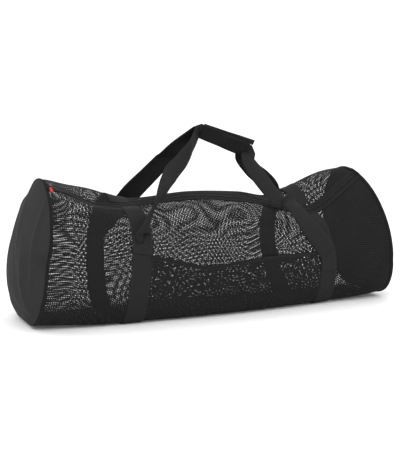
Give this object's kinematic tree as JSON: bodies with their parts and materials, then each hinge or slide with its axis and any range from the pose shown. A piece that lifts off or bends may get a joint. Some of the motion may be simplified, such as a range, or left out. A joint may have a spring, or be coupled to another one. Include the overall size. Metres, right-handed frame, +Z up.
{
  "type": "mesh gear duffel bag",
  "caption": "Long soft duffel of dark net with solid end panels, a zip along the top, webbing straps, carrying handles joined by a wrapped grip, and a net pocket.",
  "frame": {"origin": "middle of the bag's box on the floor that it rests on", "axes": "+X along the bag to its right end, +Y to its back, +Z up"},
  "size_m": [1.0604, 0.3668, 0.4873],
  "materials": {
    "net": "coarse dark net",
    "panel_cloth": "plain woven cloth, matt",
    "tape_cloth": "plain woven tape, matt",
    "webbing": "ribbed webbing, matt",
    "zip_plastic": "matt",
    "red_plastic": "matt red"
  },
  "bodies": {
    "root": {"mesh_body": "net", "end_panel_left": "panel_cloth", "end_panel_right": "panel_cloth", "zip_tape_front": "tape_cloth", "zip_tape_back": "tape_cloth", "zip_coil": "zip_plastic", "zip_slider": "zip_plastic", "zip_pull": "red_plastic", "zip_tab_left": "tape_cloth", "zip_tab_right": "tape_cloth", "strap_left": "webbing", "strap_right": "webbing", "handle_front": "webbing", "handle_back": "webbing", "handle_grip": "tape_cloth", "grip_flap": "tape_cloth", "pocket_panel": "net", "pocket_hem": "tape_cloth"}
  },
  "joints": []
}
